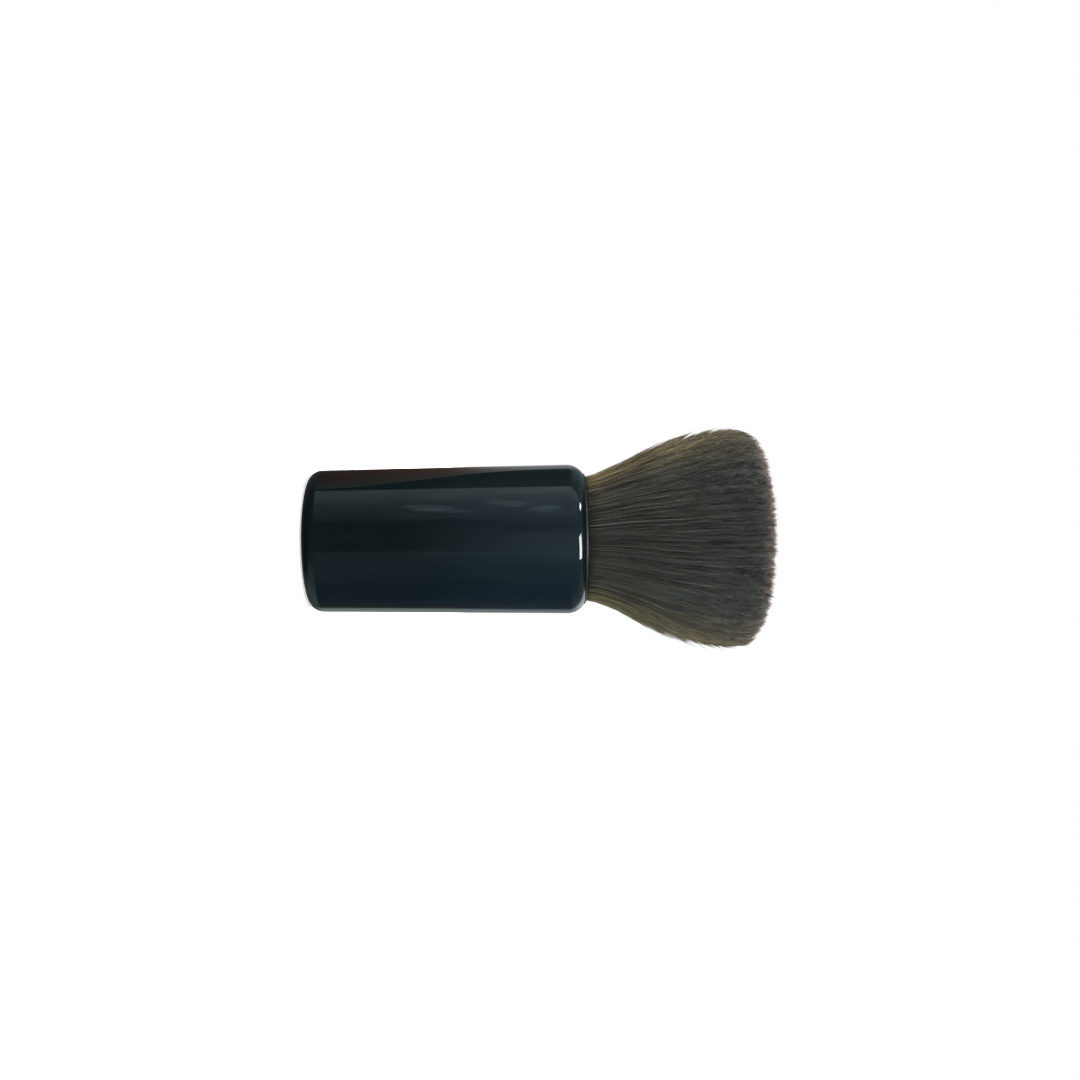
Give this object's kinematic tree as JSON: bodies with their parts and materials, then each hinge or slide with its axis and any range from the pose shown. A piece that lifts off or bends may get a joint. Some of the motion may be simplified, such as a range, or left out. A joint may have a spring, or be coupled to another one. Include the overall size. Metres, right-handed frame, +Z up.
{
  "type": "neck duster brush",
  "caption": "Barber's neck duster with a short, thick, glossy round handle and a wide flared tuft of soft bristles cut nearly flat.",
  "frame": {"origin": "centre of the flat ring at the butt of the handle, on the surface that the brush stands on", "axes": "+Z up the brush's own axis, from the butt to the bristle tips; +X and +Y are any two directions square to it, because the brush is round"},
  "size_m": [0.07, 0.07, 0.146],
  "materials": {
    "handle_gloss": "polished near-black blue-grey moulded plastic",
    "collar_gloss": "polished near-black trim ring",
    "plug_plastic": "fine satin near-black plastic",
    "cup_plastic": "plain satin dark grey moulding",
    "glue": "set glue, cloudy and pale",
    "resin": "set potting resin, amber",
    "binding": "twisted waxed thread",
    "bristles": "fine synthetic filament, dark brown-grey with reddish-brown tips"
  },
  "bodies": {
    "root": {"handle_shell": "handle_gloss", "collar_ring": "collar_gloss", "base_plug": "plug_plastic", "bristle_cup": "cup_plastic", "core_plug": "cup_plastic", "cup_glue_ring": "glue", "resin_plug": "resin", "knot_binding": "binding", "bristle_knot": "bristles"}
  },
  "joints": []
}
